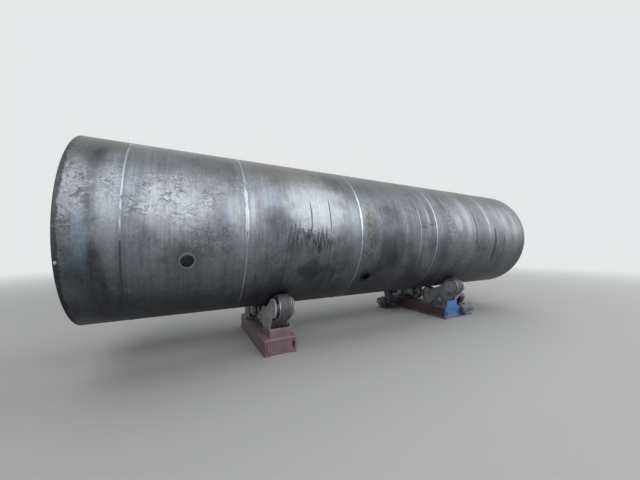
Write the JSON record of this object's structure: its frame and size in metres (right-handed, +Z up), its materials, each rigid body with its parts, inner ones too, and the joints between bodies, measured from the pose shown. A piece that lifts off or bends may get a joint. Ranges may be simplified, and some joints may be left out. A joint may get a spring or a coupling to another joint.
{
  "type": "pressure vessel shell on turning rolls",
  "caption": "Rolled and welded steel shell of a horizontal pressure tank, open ended, lying on an idler and a motor driven set of self-aligning turning rolls.",
  "frame": {"origin": "on the floor, below the middle of the shell", "axes": "+X along the shell's axis towards its full-width last courses and the drive unit, +Z up, -Y is the front, the side with the nozzle necks"},
  "size_m": [8.73, 2.4058, 3.0024],
  "materials": {
    "mill_scale_plate": "bluish grey mill scale, wire brushed beside the welds",
    "weld_metal": "bare weld beads, lightly ground",
    "neck_steel": "machined steel",
    "maroon_paint": "dusty matt maroon paint",
    "dark_maroon_paint": "dusty matt dark maroon paint",
    "blue_paint": "worn semi-gloss blue paint",
    "bogie_grey": "dusty bare casting",
    "pin_steel": "oiled steel",
    "wheel_iron": "machined rim, rolled bright",
    "tyre_polyurethane": "worn dark tyre",
    "case_paint": "light grey paint",
    "reducer_paint": "dark dusty paint",
    "motor_paint": "grey blue paint"
  },
  "bodies": {
    "turning_rolls": {"idler_frame": "maroon_paint", "idler_yoke_front": "maroon_paint", "idler_yoke_back": "maroon_paint", "idler_bogie_front": "bogie_grey", "idler_bogie_back": "bogie_grey", "idler_pins": "pin_steel", "drive_frame": "dark_maroon_paint", "drive_yoke_front": "blue_paint", "drive_yoke_back": "blue_paint", "drive_bogie_front": "bogie_grey", "drive_bogie_back": "bogie_grey", "drive_pins": "pin_steel", "gear_case_front": "case_paint", "gear_case_back": "case_paint", "reducer_front": "reducer_paint", "reducer_back": "reducer_paint", "motor_front": "motor_paint", "motor_back": "motor_paint"},
    "shell": {"shell_course_1": "mill_scale_plate", "shell_course_2": "mill_scale_plate", "shell_course_3": "mill_scale_plate", "shell_course_4": "mill_scale_plate", "shell_course_5": "mill_scale_plate", "shell_course_6": "mill_scale_plate", "girth_weld_1": "weld_metal", "girth_weld_2": "weld_metal", "girth_weld_3": "weld_metal", "girth_weld_4": "weld_metal", "girth_weld_5": "weld_metal", "nozzle_neck_1": "neck_steel", "nozzle_neck_2": "neck_steel"},
    "idler_roller_front_outer": {"idler_wheel_front_outer": "wheel_iron", "idler_tyre_front_outer": "tyre_polyurethane"},
    "idler_roller_front_inner": {"idler_wheel_front_inner": "wheel_iron", "idler_tyre_front_inner": "tyre_polyurethane"},
    "idler_roller_back_outer": {"idler_wheel_back_outer": "wheel_iron", "idler_tyre_back_outer": "tyre_polyurethane"},
    "idler_roller_back_inner": {"idler_wheel_back_inner": "wheel_iron", "idler_tyre_back_inner": "tyre_polyurethane"},
    "drive_roller_front_outer": {"drive_wheel_front_outer": "wheel_iron", "drive_tyre_front_outer": "tyre_polyurethane"},
    "drive_roller_front_inner": {"drive_wheel_front_inner": "wheel_iron", "drive_tyre_front_inner": "tyre_polyurethane"},
    "drive_roller_back_outer": {"drive_wheel_back_outer": "wheel_iron", "drive_tyre_back_outer": "tyre_polyurethane"},
    "drive_roller_back_inner": {"drive_wheel_back_inner": "wheel_iron", "drive_tyre_back_inner": "tyre_polyurethane"}
  },
  "joints": [
    {"name": "shell_turn", "type": "hinge", "parent": "turning_rolls", "child": "shell", "pos_m": [0, 0, 1.79962], "axis": [1, 0, 0], "continuous": true},
    {"name": "idler_roller_front_outer_turn", "type": "hinge", "parent": "turning_rolls", "child": "idler_roller_front_outer", "pos_m": [-1.98, -0.85234, 0.70124], "axis": [1, 0, 0], "continuous": true},
    {"name": "idler_roller_front_inner_turn", "type": "hinge", "parent": "turning_rolls", "child": "idler_roller_front_inner", "pos_m": [-1.98, -0.25383, 0.43269], "axis": [1, 0, 0], "continuous": true},
    {"name": "idler_roller_back_outer_turn", "type": "hinge", "parent": "turning_rolls", "child": "idler_roller_back_outer", "pos_m": [-1.98, 0.85234, 0.70124], "axis": [1, 0, 0], "continuous": true},
    {"name": "idler_roller_back_inner_turn", "type": "hinge", "parent": "turning_rolls", "child": "idler_roller_back_inner", "pos_m": [-1.98, 0.25383, 0.43269], "axis": [1, 0, 0], "continuous": true},
    {"name": "drive_roller_front_outer_turn", "type": "hinge", "parent": "turning_rolls", "child": "drive_roller_front_outer", "pos_m": [2.02, -0.85234, 0.70124], "axis": [1, 0, 0], "continuous": true},
    {"name": "drive_roller_front_inner_turn", "type": "hinge", "parent": "turning_rolls", "child": "drive_roller_front_inner", "pos_m": [2.02, -0.25383, 0.43269], "axis": [1, 0, 0], "continuous": true},
    {"name": "drive_roller_back_outer_turn", "type": "hinge", "parent": "turning_rolls", "child": "drive_roller_back_outer", "pos_m": [2.02, 0.85234, 0.70124], "axis": [1, 0, 0], "continuous": true},
    {"name": "drive_roller_back_inner_turn", "type": "hinge", "parent": "turning_rolls", "child": "drive_roller_back_inner", "pos_m": [2.02, 0.25383, 0.43269], "axis": [1, 0, 0], "continuous": true}
  ],
  "couplings": [
    {"joint": "idler_roller_front_outer_turn", "follows": "shell_turn", "ratio": -6.3158},
    {"joint": "idler_roller_front_inner_turn", "follows": "shell_turn", "ratio": -6.3158},
    {"joint": "idler_roller_back_outer_turn", "follows": "shell_turn", "ratio": -6.3158},
    {"joint": "idler_roller_back_inner_turn", "follows": "shell_turn", "ratio": -6.3158},
    {"joint": "drive_roller_front_outer_turn", "follows": "shell_turn", "ratio": -6.3158},
    {"joint": "drive_roller_front_inner_turn", "follows": "shell_turn", "ratio": -6.3158},
    {"joint": "drive_roller_back_outer_turn", "follows": "shell_turn", "ratio": -6.3158},
    {"joint": "drive_roller_back_inner_turn", "follows": "shell_turn", "ratio": -6.3158}
  ]
}
